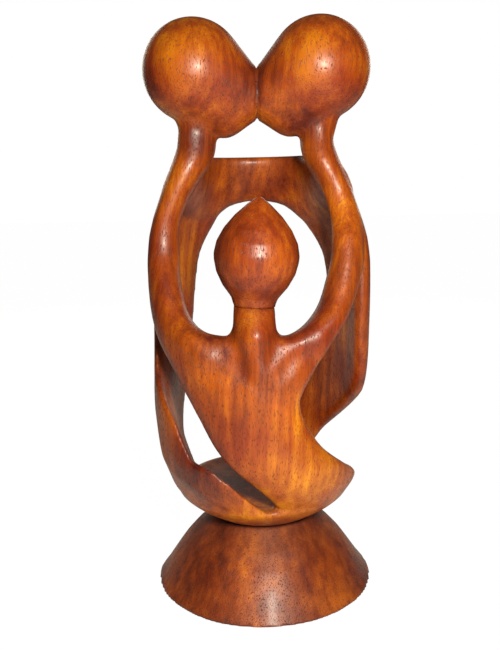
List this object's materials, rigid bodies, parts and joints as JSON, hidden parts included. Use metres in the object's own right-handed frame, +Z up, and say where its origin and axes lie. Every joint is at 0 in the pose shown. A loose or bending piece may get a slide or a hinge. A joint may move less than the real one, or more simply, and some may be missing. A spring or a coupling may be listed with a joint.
{
  "type": "carved family figure",
  "caption": "Abstract carved wooden family: parents whose faceless heads touch, bent into an open egg of limbs round a child, on a cone foot.",
  "frame": {"origin": "centre of the foot's underside, on the face that stands on the table", "axes": "+Z up along the log that the figure is carved from; -Y is the front, towards the child's face; +X to the viewer's right"},
  "size_m": [0.119, 0.119, 0.2989],
  "materials": {
    "body_wood": "satin varnish over orange-brown hardwood with dark pores",
    "head_wood": "satin varnish over red-brown hardwood",
    "foot_wood": "satin varnish over dark red-brown hardwood",
    "dowel_wood": "plain sanded dowel",
    "screw_steel": "zinc plated",
    "felt": "dark felt"
  },
  "bodies": {
    "root": {"figure_carving": "body_wood", "child_head": "head_wood", "child_head_dowel": "dowel_wood", "foot": "foot_wood", "foot_screw": "screw_steel", "screw_washer": "screw_steel", "locating_pins": "dowel_wood", "felt_pad": "felt"}
  },
  "joints": []
}
